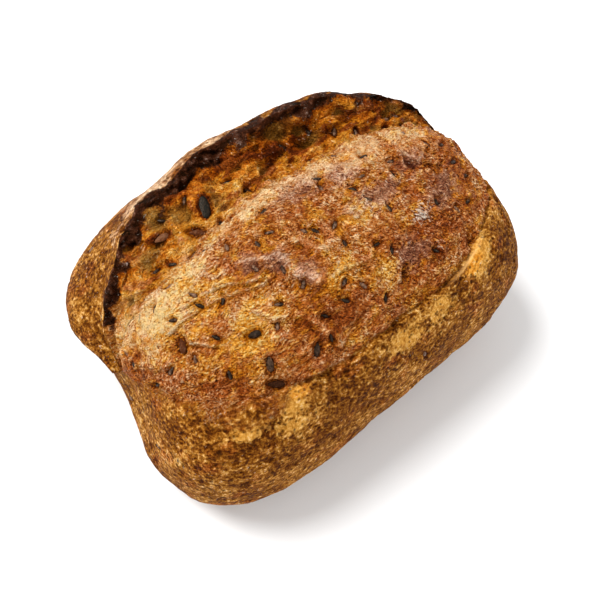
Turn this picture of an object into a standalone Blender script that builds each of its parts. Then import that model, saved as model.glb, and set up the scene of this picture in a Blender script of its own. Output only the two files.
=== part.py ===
"""Seeded sourdough loaf: an oval hearth loaf whose one long score has opened into an ear.

Metres, +Z up. +X runs along the loaf, z = 0 is the flat underside, and the ear stands on the +Y
side of the score's opening. The surface is a grid of longitudes that run from one tip of the
opening to the other, so that the ear, the trough under it and the crust's lower edge each follow
one longitude. Seeds are joined on last.
"""

import math
import random

import bmesh
import bpy
import numpy as np
from mathutils import Matrix, Vector, noise

# The plain loaf
LENGTH = 0.240
WIDTH = 0.184
BODY_HEIGHT = 0.123
BELLY_HEIGHT = 0.042  # of the widest level
BELLY_DEPTH = 0.0555  # from that level to the round bottom, which the oven floor cuts off
PLAN_POWER = 3.15  # 2 is an ellipse, more is boxier
SECTION_POWER = 2.5
RING_SPREAD = 1.35  # spaces the rings evenly on a loaf longer than it is wide
CREST_SHIFT = 0.0085  # the middle bulges to +Y
TAPER = -0.06  # the +X end is narrower
END_SLANT = (0.168, -0.091)  # of the -X and +X ends, across the width
TIP_SIDE = (0.12, 0.13)  # the opening's -X and +X tips lie this far to +Y of the ends' middles
TIP_RISE = (0.24, 0.27)  # and this far above them
TIP_REACH = 0.8  # the share of each half that follows its tip

# The score's opening. Angles go round the loaf in degrees, from its -Y side over the top.
EDGE_ANGLE = 40.0  # the crust's lower edge
TROUGH_ANGLE = 111.0
EAR_ANGLE = 129.0
EAR_RISE = 0.012
EAR_SAG, SAG_RING, SAG_SPREAD = 0.45, 1.15, 0.35  # the share of its rise the ear lost there
EAR_LEAN = 0.004  # of the lip, over the trough
EAR_INNER, EAR_OUTER = 3.0, 11.0  # the ear dies away over this many degrees on each side
TROUGH_DEPTH = 0.0085
TROUGH_SPREAD = 8.0
DOME_RISE = 0.0035
CRUST_STEP = 0.0024  # the crust stands proud of what rose out of the opening
STEP_SPREAD = 14.0
STEP_AT_START = 0.35  # the share of the step that is left at its -X end
STEP_GROWS = (0.7, 1.5)  # between these rings it grows to its full height
STRAYS = (  # angle of what strays, ring, spread in rings, degrees by which it strays
    (EAR_ANGLE, 1.05, 0.26, 5.5),
    (EAR_ANGLE, 0.75, 0.20, 3.5),
    (EAR_ANGLE, 1.36, 0.10, 3.5),
    (EAR_ANGLE, 0.19, 0.15, 9.0),
    (TROUGH_ANGLE, 1.90, 0.40, 4.0),
    (TROUGH_ANGLE, 0.75, 0.35, -8.0),
)
STRAY_REACH = 11.0  # degrees over which they pull the surface with them
RAGGED_LIP = 0.0022
RAGGED_TURN = 1.2  # degrees by which the lip wanders
RAGGED_WAVES = (5, 11, 23)
TIP_FADE = 0.6  # how fast all of it dies away towards the tips; less is faster

# Where the loaf bulged, or sank: rise, angle, ring, and how far it spreads in degrees and rings
BULGES = (
    (0.0215, 197.0, 0.49, 34.0, 0.43),  # behind the ear's -X end
    (-0.0026, 155.0, 1.12, 22.0, 0.24),  # behind its sagging middle
    (-0.0035, 206.0, 0.20, 45.0, 0.16),  # the opening's -X tip
    (-0.0030, 330.0, 0.15, 60.0, 0.20),  # and below it
    (0.0045, 315.0, 0.56, 30.0, 0.14),  # the -X end's lower corner
    (0.0015, 352.0, 1.58, 25.0, 0.12),  # the -Y flank
    (-0.0018, 350.0, 1.95, 25.0, 0.12),
    (0.0024, 358.0, 2.24, 30.0, 0.20),
)

# Uneven baking: the lumps' height and spacing
LUMPS = ((0.0024, 0.060), (0.0010, 0.024))
CRAGS = ((0.0014, 0.013), (0.0008, 0.007))  # inside the opening
TORN_CRAGS = ((0.0034, 0.017), (0.0016, 0.008))  # on the torn wall under the ear

RINGS = 56

# Seeds: length, width and thickness
FLAX = (0.0050, 0.0027, 0.0020)
SUNFLOWER = (0.0100, 0.0052, 0.0036)
KERNEL = (0.0085, 0.0052, 0.0032)
PUMPKIN = (0.0145, 0.0078, 0.0040)
LARGE_SEEDS = (  # size, ring, angle, turn in degrees
    (PUMPKIN, 1.195, 116.5, 19.0),
    (SUNFLOWER, 1.060, 113.8, 102.0),
    (SUNFLOWER, 0.875, 120.0, 139.0),
    (SUNFLOWER, 0.685, 65.0, 25.0),
    (SUNFLOWER, 1.075, 43.0, 97.0),
    (KERNEL, 1.258, 48.0, 5.0),
    (KERNEL, 1.071, 49.6, 19.0),
    (KERNEL, 1.122, 46.3, 157.0),
    (KERNEL, 1.039, 60.0, 119.0),
)
FLAX_IN_OPENING = 94
FLAX_ON_CRUST = 18
SEED_MARGIN = 6.0  # degrees kept clear beside the crust's edge and the ear
SEED_GAP = 0.001  # between one seed and the next
SEED_CLEARANCE = 0.012  # over the floor
SEED_SUNK = 0.12  # the share of a seed's thickness by which its middle lies below the crust
SEED_SIDES = 6
SEED_BANDS = 4
PLASTIC_NUMBER = 1.32472  # multiples of its inverse powers spread spots evenly over an area
SPOT_JITTER = 0.03


def smooth_step(t):
    t = np.clip(t, 0.0, 1.0)
    return t * t * (3.0 - 2.0 * t)


def bell(t):
    return np.exp(-t * t)


def body(ring, around):
    """Points of the plain loaf. ring runs from 0 to pi along it, and around is in radians."""
    toward = np.stack([
        -np.cos(ring) * np.ones_like(around),
        -np.sin(ring) * np.cos(around),
        np.sin(ring) * np.sin(around),
    ], axis=-1)
    at_start = smooth_step(1 - (1 + toward[..., 0]) / TIP_REACH)
    at_end = smooth_step(1 - (1 - toward[..., 0]) / TIP_REACH)
    toward[..., 1] += TIP_SIDE[0] * at_start + TIP_SIDE[1] * at_end
    toward[..., 2] += TIP_RISE[0] * at_start + TIP_RISE[1] * at_end
    toward[..., 0] *= RING_SPREAD
    half_height = np.where(toward[..., 2] > 0, BODY_HEIGHT - BELLY_HEIGHT, BELLY_DEPTH)
    lengthwise = np.abs(toward[..., 0] / (LENGTH / 2)) ** PLAN_POWER
    across = np.abs(toward[..., 1] / (WIDTH / 2)) ** SECTION_POWER
    upward = np.abs(toward[..., 2] / half_height) ** SECTION_POWER
    size = lengthwise + (across + upward) ** (PLAN_POWER / SECTION_POWER)
    points = toward * (size ** (-1 / PLAN_POWER))[..., None]
    along = points[..., 0] / (LENGTH / 2)
    side = points[..., 1] / (WIDTH / 2)
    slant = END_SLANT[0] * smooth_step(-along) + END_SLANT[1] * smooth_step(along)
    points[..., 0] += LENGTH / 2 * slant * side
    points[..., 1] = points[..., 1] * (1 + TAPER * along) + CREST_SHIFT * (1 - along**2)
    points[..., 2] += BELLY_HEIGHT
    return points


def body_frame(ring, around):
    """The plain loaf's outward normals, and the directions round it."""
    step = 1e-3
    along = body(ring + step, around) - body(ring - step, around)
    round_it = body(ring, around + step) - body(ring, around - step)
    normal = np.cross(along, round_it)
    normal /= np.linalg.norm(normal, axis=-1, keepdims=True)
    return normal, round_it / np.linalg.norm(round_it, axis=-1, keepdims=True)


def bumps(points, layers):
    """Smooth noise of each layer's height and spacing, added up."""
    total = np.zeros(points.shape[:-1])
    for index in np.ndindex(total.shape):
        place = Vector(points[index])
        total[index] = sum(height * noise.noise(place / spacing) for height, spacing in layers)
    return total


def ragged(ring, strand):
    """Goes unevenly between -1 and 1 along the loaf, as a torn edge does. Strands differ."""
    return sum(np.sin(waves * (ring + strand)) for waves in RAGGED_WAVES) / len(RAGGED_WAVES)


def bulges(degrees, ring):
    total = np.zeros_like(ring + degrees)
    for rise, angle, at_ring, angle_spread, ring_spread in BULGES:
        turn = (degrees - angle + 180) % 360 - 180
        total += rise * bell(turn / angle_spread) * bell((ring - at_ring) / ring_spread)
    return total


def stray(ring, degrees):
    """How far, in degrees, the lip, the trough and what lies near them stray round the loaf."""
    total = np.zeros_like(ring + degrees)
    for angle, at_ring, spread, turn in STRAYS:
        total += turn * bell((ring - at_ring) / spread) * bell((degrees - angle) / STRAY_REACH)
    return total


def crust(ring, degrees):
    """Points of the whole loaf: the plain one with its opening, ear, bulges and lumps."""
    place = degrees + stray(ring, degrees)
    around = np.radians(place)
    points = body(ring, around)
    normal, round_it = body_frame(ring, around)
    fade = np.sin(ring) ** TIP_FADE
    past_ear = degrees - EAR_ANGLE - RAGGED_TURN * ragged(ring, 0)
    past_edge = degrees - EDGE_ANGLE
    opened = (past_edge > 0) & (past_ear < 0)

    ear = bell(past_ear / np.where(past_ear > 0, EAR_OUTER, EAR_INNER))
    trough = bell((degrees - TROUGH_ANGLE) / TROUGH_SPREAD)
    wall = smooth_step((degrees - TROUGH_ANGLE) / TROUGH_SPREAD) * (past_ear < -EAR_INNER)
    dome = np.sin(np.pi * np.clip(past_edge / (TROUGH_ANGLE - EDGE_ANGLE), 0, 1))
    grown = smooth_step((ring - STEP_GROWS[0]) / (STEP_GROWS[1] - STEP_GROWS[0]))
    step_height = CRUST_STEP * (STEP_AT_START + (1 - STEP_AT_START) * grown)
    step = np.where(past_edge < 0, 0.5, -0.5) * bell(past_edge / STEP_SPREAD)
    ear_height = EAR_RISE * (1 - EAR_SAG * bell((ring - SAG_RING) / SAG_SPREAD))

    rise = bulges(place, ring) + bumps(points, LUMPS) + fade * (
        (ear_height + RAGGED_LIP * ragged(ring, 1)) * ear
        - TROUGH_DEPTH * trough
        + DOME_RISE * dome
        + step_height * step
        + opened * bumps(points, CRAGS)
        + wall * bumps(points, TORN_CRAGS)
    )
    lean = -EAR_LEAN * fade * bell(past_ear / EAR_INNER)
    return points + normal * rise[..., None] + round_it * lean[..., None]


def longitudes():
    """Their angles in degrees: close together at the edge, the trough and the lip."""
    spans = (  # from, to, how many
        (EAR_ANGLE + 1, 150, 6),
        (150, 200, 6),
        (200, 340, 12),
        (340, 358 + EDGE_ANGLE, 8),
        (358 + EDGE_ANGLE, 363 + EDGE_ANGLE, 4),
        (363 + EDGE_ANGLE, 350 + TROUGH_ANGLE, 13),
        (350 + TROUGH_ANGLE, 356 + EAR_ANGLE, 9),
        (356 + EAR_ANGLE, 361 + EAR_ANGLE, 5),
    )
    return np.concatenate([np.linspace(a, b, n, endpoint=False) for a, b, n in spans]) % 360


def flat_underside(mesh):
    """Cuts the mesh off at the floor and closes the cut with one flat face."""
    everything = mesh.verts[:] + mesh.edges[:] + mesh.faces[:]
    cut = bmesh.ops.bisect_plane(
        mesh, geom=everything, plane_co=(0, 0, 0), plane_no=(0, 0, -1), clear_outer=True
    )
    rim = [item for item in cut["geom_cut"] if isinstance(item, bmesh.types.BMEdge)]
    bmesh.ops.contextual_create(mesh, geom=rim)


def make_loaf():
    rings = np.linspace(0, math.pi, RINGS + 1)[1:-1]
    angles = longitudes()
    points = crust(*np.meshgrid(rings, angles, indexing="ij"))
    tips = body(np.array([0.0, math.pi]), np.array([0.0, 0.0]))
    mesh = bmesh.new()
    rows = [[mesh.verts.new(point) for point in row] for row in points]
    start, end = (mesh.verts.new(tip) for tip in tips)
    for k in range(len(angles)):
        after = (k + 1) % len(angles)
        mesh.faces.new((start, rows[0][after], rows[0][k]))
        mesh.faces.new((end, rows[-1][k], rows[-1][after]))
        for low, high in zip(rows, rows[1:]):
            mesh.faces.new((low[k], low[after], high[after], high[k]))
    bmesh.ops.triangulate(mesh, faces=mesh.faces)
    flat_underside(mesh)
    bmesh.ops.recalc_face_normals(mesh, faces=mesh.faces)
    data = bpy.data.meshes.new("loaf")
    mesh.to_mesh(data)
    mesh.free()
    loaf = bpy.data.objects.new("loaf", data)
    bpy.context.scene.collection.objects.link(loaf)
    loaf.data.materials.append(material("baked_crust", (0.42, 0.19, 0.06), 0.6))
    return loaf


def material(name, colour, roughness):
    made = bpy.data.materials.new(name)
    made.use_nodes = True
    shader = made.node_tree.nodes["Principled BSDF"]
    shader.inputs["Base Color"].default_value = (*colour, 1)
    shader.inputs["Roughness"].default_value = roughness
    shader.inputs["Metallic"].default_value = 0
    return made


def spread_spots(count, low, high, draw):
    """(ring, angle) spots spread evenly over a band of longitudes, each a little off its place."""
    for k in range(1, count + 1):
        share_along = (k / PLASTIC_NUMBER + draw.uniform(-SPOT_JITTER, SPOT_JITTER)) % 1
        share_round = (k / PLASTIC_NUMBER**2 + draw.uniform(-SPOT_JITTER, SPOT_JITTER)) % 1
        yield math.acos(1 - 2 * share_along), low + share_round * (high - low)


def seed_plan():
    """(size, ring, angle, turn) of each seed, the largest first."""
    draw = random.Random(7)
    yield from LARGE_SEEDS
    bands = (
        (FLAX_IN_OPENING, EDGE_ANGLE + SEED_MARGIN, EAR_ANGLE - SEED_MARGIN),
        (FLAX_ON_CRUST, EAR_ANGLE + SEED_MARGIN, 360 + EDGE_ANGLE - SEED_MARGIN),
    )
    for count, low, high in bands:
        for ring, angle in spread_spots(count, low, high, draw):
            yield FLAX, ring, angle, draw.uniform(0, 180)


def make_seed(name, size, spot, normal, turn, finish):
    """An ellipsoid lying in the crust, its length turned round the surface's normal."""
    length, width, thickness = size
    mesh = bmesh.new()
    bmesh.ops.create_uvsphere(
        mesh, u_segments=SEED_SIDES, v_segments=SEED_BANDS, radius=0.5,
        matrix=Matrix.Diagonal((width, thickness, length, 1)),
    )
    data = bpy.data.meshes.new(name)
    mesh.to_mesh(data)
    mesh.free()
    data.materials.append(finish)
    lengthwise = Matrix.Rotation(math.radians(turn), 3, normal) @ normal.orthogonal().normalized()
    axes = Matrix((lengthwise.cross(normal), normal, lengthwise)).transposed()
    seed = bpy.data.objects.new(name, data)
    seed.matrix_world = Matrix.Translation(spot - normal * SEED_SUNK * thickness) @ axes.to_4x4()
    return seed


def scatter_seeds(loaf, collection):
    """Puts each planned seed on the loaf, apart from those too near another or the floor."""
    finish = material("toasted_seed", (0.05, 0.03, 0.02), 0.45)
    taken = []
    for size, ring, angle, turn in seed_plan():
        planned = Vector(crust(np.array([ring]), np.array([angle]))[0])
        _, spot, normal, _ = loaf.closest_point_on_mesh(planned)
        crowded = any(
            (spot - other).length < (size[0] + length) / 2 + SEED_GAP for other, length in taken
        )
        if crowded or spot.z < SEED_CLEARANCE:
            continue
        taken.append((spot, size[0]))
        seed = make_seed(f"seed_{len(taken)}", size, spot, normal, turn, finish)
        collection.objects.link(seed)


def join_seeds(loaf, collection):
    union = loaf.modifiers.new("seeds", "BOOLEAN")
    union.operation = "UNION"
    union.operand_type = "COLLECTION"
    union.collection = collection
    union.solver = "EXACT"
    union.material_mode = "TRANSFER"
    bpy.context.view_layer.objects.active = loaf
    bpy.ops.object.modifier_apply(modifier=union.name)
    for seed in list(collection.objects):
        bpy.data.objects.remove(seed)
    bpy.data.collections.remove(collection)


def centre_over_origin(loaf):
    """Moves the loaf's box sideways until its middle is at x = 0, y = 0."""
    corners = np.array([corner.co for corner in loaf.data.vertices])
    middle = (corners.min(axis=0) + corners.max(axis=0)) / 2
    loaf.data.transform(Matrix.Translation((-middle[0], -middle[1], 0)))


def main():
    for old in list(bpy.data.objects):
        bpy.data.objects.remove(old)
    loaf = make_loaf()
    seeds = bpy.data.collections.new("seeds")
    bpy.context.scene.collection.children.link(seeds)
    scatter_seeds(loaf, seeds)
    join_seeds(loaf, seeds)
    centre_over_origin(loaf)
    loaf.data.shade_smooth()
    loaf.data.set_sharp_from_angle(angle=math.radians(50))


main()
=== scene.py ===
"""Looks of the seeded sourdough loaf: its crust in full detail, its seeds, and a plain studio.

Metres, +Z up. The loaf is the same grid of longitudes as its solid: they run from one tip of the
score's opening to the other, and angles go round the loaf in degrees from its -Y side over the
top. On it lie finer reliefs, one for each kind of surface: the crackled bloom that rose out of the
opening, the torn wall under the ear, the charred lip and the floury crust.
"""

import math
import random

import bpy
import numpy as np
from mathutils import Matrix, Vector, noise
from mathutils.kdtree import KDTree


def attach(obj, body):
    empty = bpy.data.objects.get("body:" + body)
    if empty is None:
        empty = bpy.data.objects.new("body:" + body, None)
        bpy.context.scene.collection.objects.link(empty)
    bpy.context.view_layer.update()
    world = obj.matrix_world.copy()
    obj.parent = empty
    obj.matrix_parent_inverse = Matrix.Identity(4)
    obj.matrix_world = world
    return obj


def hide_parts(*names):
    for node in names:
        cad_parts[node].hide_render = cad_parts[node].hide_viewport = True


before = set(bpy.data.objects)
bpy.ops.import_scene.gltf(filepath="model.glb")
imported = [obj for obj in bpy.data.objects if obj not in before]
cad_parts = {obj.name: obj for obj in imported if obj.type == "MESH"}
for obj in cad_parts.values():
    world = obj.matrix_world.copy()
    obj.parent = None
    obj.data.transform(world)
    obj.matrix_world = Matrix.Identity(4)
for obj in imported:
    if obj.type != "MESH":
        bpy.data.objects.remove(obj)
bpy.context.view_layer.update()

# The plain loaf, as in its solid
LENGTH = 0.24
WIDTH = 0.184
BODY_HEIGHT = 0.123
BELLY_HEIGHT = 0.042  # of the widest level
BELLY_DEPTH = 0.0555  # from that level to the round bottom, which the oven floor cuts off
PLAN_POWER = 3.15  # 2 is an ellipse, more is boxier
SECTION_POWER = 2.5
RING_SPREAD = 1.35  # spaces the rings evenly on a loaf longer than it is wide
CREST_SHIFT = 0.0085  # the middle bulges to +Y
TAPER = -0.06  # the +X end is narrower
END_SLANT = (0.168, -0.091)  # of the -X and +X ends, across the width
TIP_SIDE = (0.12, 0.13)  # the opening's -X and +X tips lie this far to +Y of the ends' middles
TIP_RISE = (0.24, 0.27)  # and this far above them
TIP_REACH = 0.8  # the share of each half that follows its tip
MIDDLE = Vector((-0.00255, 0.00772, 0))  # of the loaf's outline, which its solid has at 0, 0

# The score's opening
EDGE_ANGLE = 40  # the crust's lower edge
TROUGH_ANGLE = 111
EAR_ANGLE = 129
EAR_RISE = 0.012
EAR_SAG, SAG_RING, SAG_SPREAD = 0.45, 1.15, 0.35  # the share of its rise the ear lost there
EAR_LEAN = 0.004  # of the lip, over the trough
EAR_INNER, EAR_OUTER = 3, 11  # the ear dies away over this many degrees on each side
TROUGH_DEPTH = 0.0085
TROUGH_SPREAD = 8
DOME_RISE = 0.0035
CRUST_STEP = 0.0024  # the crust stands proud of what rose out of the opening
STEP_SPREAD = 14
STEP_AT_START = 0.35  # the share of the step that is left at its -X end
STEP_GROWS = (0.7, 1.5)  # between these rings it grows to its full height
STRAYS = (  # angle of what strays, ring, spread in rings, degrees by which it strays
    (EAR_ANGLE, 1.05, 0.26, 5.5),
    (EAR_ANGLE, 0.75, 0.2, 3.5),
    (EAR_ANGLE, 1.36, 0.1, 3.5),
    (EAR_ANGLE, 0.19, 0.15, 9),
    (TROUGH_ANGLE, 1.9, 0.4, 4),
    (TROUGH_ANGLE, 0.75, 0.35, -8),
)
STRAY_REACH = 11  # degrees over which they pull the surface with them
RAGGED_LIP = 0.0022
RAGGED_TURN = 1.2  # degrees by which the lip wanders
RAGGED_WAVES = (5, 11, 23)
TIP_FADE = 0.6  # how fast all of it dies away towards the tips; less is faster

# Where the loaf bulged, or sank: rise, angle, ring, and how far it spreads in degrees and rings
BULGES = (
    (0.0215, 197, 0.49, 34, 0.43),  # behind the ear's -X end
    (-0.0026, 155, 1.12, 22, 0.24),  # behind its sagging middle
    (-0.0035, 206, 0.2, 45, 0.16),  # the opening's -X tip
    (-0.003, 330, 0.15, 60, 0.2),  # and below it
    (0.0045, 315, 0.56, 30, 0.14),  # the -X end's lower corner
    (0.0015, 352, 1.58, 25, 0.12),  # the -Y flank
    (-0.0018, 350, 1.95, 25, 0.12),
    (0.0024, 358, 2.24, 30, 0.2),
)

# Uneven baking: the lumps' height and spacing
LUMPS = ((0.0024, 0.06), (0.001, 0.024))
CRAGS = ((0.0014, 0.013), (0.0008, 0.007))  # inside the opening
TORN_CRAGS = ((0.0034, 0.017), (0.0016, 0.008))  # on the torn wall under the ear

RINGS = 330  # of the crust's mesh, from tip to tip

# The camera stands where the photograph was taken from
CAMERA_SIDE, CAMERA_ELEVATION, CAMERA_ROLL = -49.72, 61.65, 12.96  # degrees
CAMERA_DISTANCE = 0.5875
CAMERA_AIM = Vector((0, 0, 0.045))
CAMERA_LENS = 60
CAMERA_SHIFT = (-0.00757, -0.01605)


def smooth_step(t):
    t = np.clip(t, 0, 1)
    return t * t * (3 - 2 * t)


def bell(t):
    return np.exp(-t * t)


def body(ring, around):
    """Points of the plain loaf. ring runs from 0 to pi along it, and around is in radians."""
    toward = np.stack([
        -np.cos(ring) * np.ones_like(around),
        -np.sin(ring) * np.cos(around),
        np.sin(ring) * np.sin(around),
    ], axis=-1)
    at_start = smooth_step(1 - (1 + toward[..., 0]) / TIP_REACH)
    at_end = smooth_step(1 - (1 - toward[..., 0]) / TIP_REACH)
    toward[..., 1] += TIP_SIDE[0] * at_start + TIP_SIDE[1] * at_end
    toward[..., 2] += TIP_RISE[0] * at_start + TIP_RISE[1] * at_end
    toward[..., 0] *= RING_SPREAD
    half_height = np.where(toward[..., 2] > 0, BODY_HEIGHT - BELLY_HEIGHT, BELLY_DEPTH)
    lengthwise = np.abs(toward[..., 0] / (LENGTH / 2)) ** PLAN_POWER
    across = np.abs(toward[..., 1] / (WIDTH / 2)) ** SECTION_POWER
    upward = np.abs(toward[..., 2] / half_height) ** SECTION_POWER
    size = lengthwise + (across + upward) ** (PLAN_POWER / SECTION_POWER)
    points = toward * (size ** (-1 / PLAN_POWER))[..., None]
    along = points[..., 0] / (LENGTH / 2)
    side = points[..., 1] / (WIDTH / 2)
    slant = END_SLANT[0] * smooth_step(-along) + END_SLANT[1] * smooth_step(along)
    points[..., 0] += LENGTH / 2 * slant * side
    points[..., 1] = points[..., 1] * (1 + TAPER * along) + CREST_SHIFT * (1 - along**2)
    points[..., 2] += BELLY_HEIGHT
    return points


def body_frame(ring, around):
    """The plain loaf's outward normals, and the directions round it."""
    step = 1e-3
    along = body(ring + step, around) - body(ring - step, around)
    round_it = body(ring, around + step) - body(ring, around - step)
    normal = np.cross(along, round_it)
    normal /= np.linalg.norm(normal, axis=-1, keepdims=True)
    return normal, round_it / np.linalg.norm(round_it, axis=-1, keepdims=True)


def grain(points, spacing):
    """Smooth noise, roughly between -1 and 1. spacing is one length or one for each axis.

    Points moved by whole metres give a noise of their own.
    """
    flat = (points / spacing).reshape(-1, 3).tolist()
    return np.array([noise.noise(place) for place in flat]).reshape(points.shape[:-1])


def bumps(points, layers):
    """Smooth noise of each layer's height and spacing, added up."""
    return sum(height * grain(points, spacing) for height, spacing in layers)


def ragged(ring, strand):
    """Goes unevenly between -1 and 1 along the loaf, as a torn edge does. Strands differ."""
    return sum(np.sin(waves * (ring + strand)) for waves in RAGGED_WAVES) / len(RAGGED_WAVES)


def bulges(degrees, ring):
    total = np.zeros_like(ring + degrees)
    for rise, angle, at_ring, angle_spread, ring_spread in BULGES:
        turn = (degrees - angle + 180) % 360 - 180
        total += rise * bell(turn / angle_spread) * bell((ring - at_ring) / ring_spread)
    return total


def stray(ring, degrees):
    """How far, in degrees, the lip, the trough and what lies near them stray round the loaf."""
    total = np.zeros_like(ring + degrees)
    for angle, at_ring, spread, turn in STRAYS:
        total += turn * bell((ring - at_ring) / spread) * bell((degrees - angle) / STRAY_REACH)
    return total


def crust(ring, degrees, wobble=0):
    """Points of the whole loaf: the plain one with its opening, ear, bulges and lumps."""
    place = degrees + stray(ring, degrees) + wobble
    around = np.radians(place)
    points = body(ring, around)
    normal, round_it = body_frame(ring, around)
    fade = np.sin(ring) ** TIP_FADE
    past_ear = degrees - EAR_ANGLE - RAGGED_TURN * ragged(ring, 0)
    past_edge = degrees - EDGE_ANGLE
    opened = (past_edge > 0) & (past_ear < 0)

    ear = bell(past_ear / np.where(past_ear > 0, EAR_OUTER, EAR_INNER))
    trough = bell((degrees - TROUGH_ANGLE) / TROUGH_SPREAD)
    wall = smooth_step((degrees - TROUGH_ANGLE) / TROUGH_SPREAD) * (past_ear < -EAR_INNER)
    dome = np.sin(np.pi * np.clip(past_edge / (TROUGH_ANGLE - EDGE_ANGLE), 0, 1))
    grown = smooth_step((ring - STEP_GROWS[0]) / (STEP_GROWS[1] - STEP_GROWS[0]))
    step_height = CRUST_STEP * (STEP_AT_START + (1 - STEP_AT_START) * grown)
    step = np.where(past_edge < 0, 0.5, -0.5) * bell(past_edge / STEP_SPREAD)
    ear_height = EAR_RISE * (1 - EAR_SAG * bell((ring - SAG_RING) / SAG_SPREAD))

    rise = bulges(place, ring) + bumps(points, LUMPS) + fade * (
        (ear_height + RAGGED_LIP * ragged(ring, 1)) * ear
        - TROUGH_DEPTH * trough
        + DOME_RISE * dome
        + step_height * step
        + opened * bumps(points, CRAGS)
        + wall * bumps(points, TORN_CRAGS)
    )
    lean = -EAR_LEAN * fade * bell(past_ear / EAR_INNER)
    return points + normal * rise[..., None] + round_it * lean[..., None]


# Degrees by which the lip, the rim and the crust's edge wobble
LIP_WOBBLE = ((1.1, 0.016), (0.7, 0.006), (0.2, 0.0025))
RIM_WOBBLE = ((3, 0.024), (1.6, 0.01), (0.8, 0.004))
EDGE_WOBBLE = ((0.9, 0.02), (0.5, 0.007), (0.3, 0.0025))
WOBBLE_REACH = 9  # degrees over which they pull the surface with them
WOBBLE_RUN = 0.095  # metres of the wobble's noise for each radian of ring

# Fine relief: height, the spacing of its noise along X, Y and Z, and how much lighter it is painted
# where its noise is high: partly the skin's own paler crests, partly painted highlight on what stands
# proud and painted shade in what sinks
BLOOM_FOLDS = (0.001, (0.03, 0.01, 0.01), 0.5)
BLOOM_STRANDS = (0.001, (0.018, 0.0042, 0.0042), 1)  # these run along the loaf
BLOOM_FIBRES = (0.0009, (0.0036, 0.016, 0.012), 1)  # and these across it
BLOOM_CRACKLE = (0.0005, 0.003, 0.7)
BLOOM_LUMPS = (0.0006, 0.0085, 0.5)
BLOOM_BLISTERS = (0.0003, 0.0016, 0.8)
TORN_STRANDS = (0.0018, (0.02, 0.005, 0.005), 0.8)
TORN_THREADS = (0.0009, (0.009, 0.0024, 0.0024), 0.6)
TORN_FLAPS = (0.0026, 0.011, 0.5)
TORN_SHREDS = (0.0007, 0.0028, 0.5)
CRUST_PEBBLES = (0.00035, 0.003, 0.7)
CRUST_PITS = (-0.0008, 0.005, -1)
CRUST_WAVES = (0.0006, 0.013, 0)
HOLLOW_DEPTH, HOLLOW_SPACING = 0.0034, 0.012
BLISTER_HEIGHT, BLISTER_SPACING = 0.0011, 0.0042  # of the char
BEND = (0.004, 0.015)  # strands wind this far, over this length
BEND_APART = (0, 0.3, 0.6)  # metres between the noises that wind them along X, Y and Z
CREST_NARROWING, CREST_POWER = 2.6, 1.5  # more makes the crests thinner
FIBRES_START = (0.9, 1.6)  # rings between which the strands give way to fibres
TIP_CALM = 0.2  # the fine relief fades where the loaf is narrower than this share of its middle

EDGE_BLUR, LIP_BLUR = 1.5, 1.5  # degrees over which the opening gives way to the crust
RIM_BLUR = (12, 1.6)  # and the bloom to the torn wall, before the rim's start and after it
WALL_START = (0.15, 0.5)  # rings between which the torn wall appears
WALL_STRAY = 5  # degrees by which its lower end wanders
RIM_ANGLE = 106  # where the bloom's skin ends over the trough
RIM_RISE, RIM_SPREAD = 0.0016, 2.4
RIM_START = (1.15, 1.5)  # rings between which the rim gets its height
POCKET = (3.5, 3)  # painted shade on the torn wall just behind the rim: degrees past it, and its spread
UPPER_WALL = (112, 125)  # between these angles the torn wall darkens, as painted shade under the ear's lip
UPPER_STRAY = 4  # and this many degrees off them
CHAR_START = (0.2, 0.35)  # rings between which the char appears
CHAR_BLUR = (-2, 1.6)  # degrees past its band's start between which it gets its full strength
EDGE_RIDGE, EDGE_CREASE, EDGE_WIDTH = 0.0006, 0.0012, 0.8
SLIVER = (2.02, 0.09)  # the ring where a pale highlight is painted on the crust's raised edge, and over how many rings
CHAR_BAND = (  # ring, and the degrees of the ear's inner face that are charred there
    (0.3, 2.6), (0.6, 3), (1.05, 3.6), (1.35, 3.4), (1.65, 1.6), (2.1, 1.4), (2.5, 1.4),
    (2.8, 0.8),
)
CHAR_OUTSIDE = ((1.4, 1.6), (1.75, 6.5), (2.2, 6), (2.5, 2.5), (2.8, 1))  # and of its outer face
MERGE_RINGS = (0.9, 1.25)  # before them what rose merges into the crust, over MERGE_WIDTH degrees
MERGE_WIDTH = 18
BARE_BAND = (14, 17)  # pale crust lies this far behind the lip, over this many degrees
BARE_RINGS = ((0.5, 0.95), (1.35, 1.8))  # between these rings it appears, and fades out

# Patches of colour: ring, angle, and how far they spread in rings and degrees
PALE_PATCHES = (
    (0.3, 98, 0.2, 24), (0.58, 88, 0.24, 17), (0.86, 97, 0.18, 9), (1.15, 103, 0.22, 5),
    (1.45, 104, 0.2, 4.5), (1.72, 102, 0.2, 5.5), (2.02, 100, 0.26, 9), (2.32, 96, 0.24, 9),
    (0.45, 119, 0.16, 6), (0.9, 112, 0.12, 4),
)
GOLD_PATCHES = (
    (1.49, 65, 0.06, 4), (1.66, 56, 0.08, 5), (2.3, 61, 0.08, 6), (1.05, 66, 0.16, 7),
    (0.45, 114, 0.25, 9), (1.32, 112, 0.1, 5), (2.12, 113, 0.16, 4), (0.7, 80, 0.32, 20),
    (1, 58, 0.16, 6), (1.76, 78, 0.12, 5),
    # these two are on the crust
    (1.15, 38, 0.05, 2.2), (2.03, 37, 0.07, 2.8),
)
DUSTY_PATCHES = (
    (1.16, 83, 0.06, 4), (1.26, 79, 0.06, 4.5), (1.35, 71, 0.06, 4.5), (1.6, 99, 0.12, 5),
    (1.82, 95, 0.1, 5), (1.88, 80, 0.16, 5), (2.2, 83, 0.1, 6), (2.18, 64, 0.14, 6),
    (1.82, 57, 0.08, 5),
)
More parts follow.
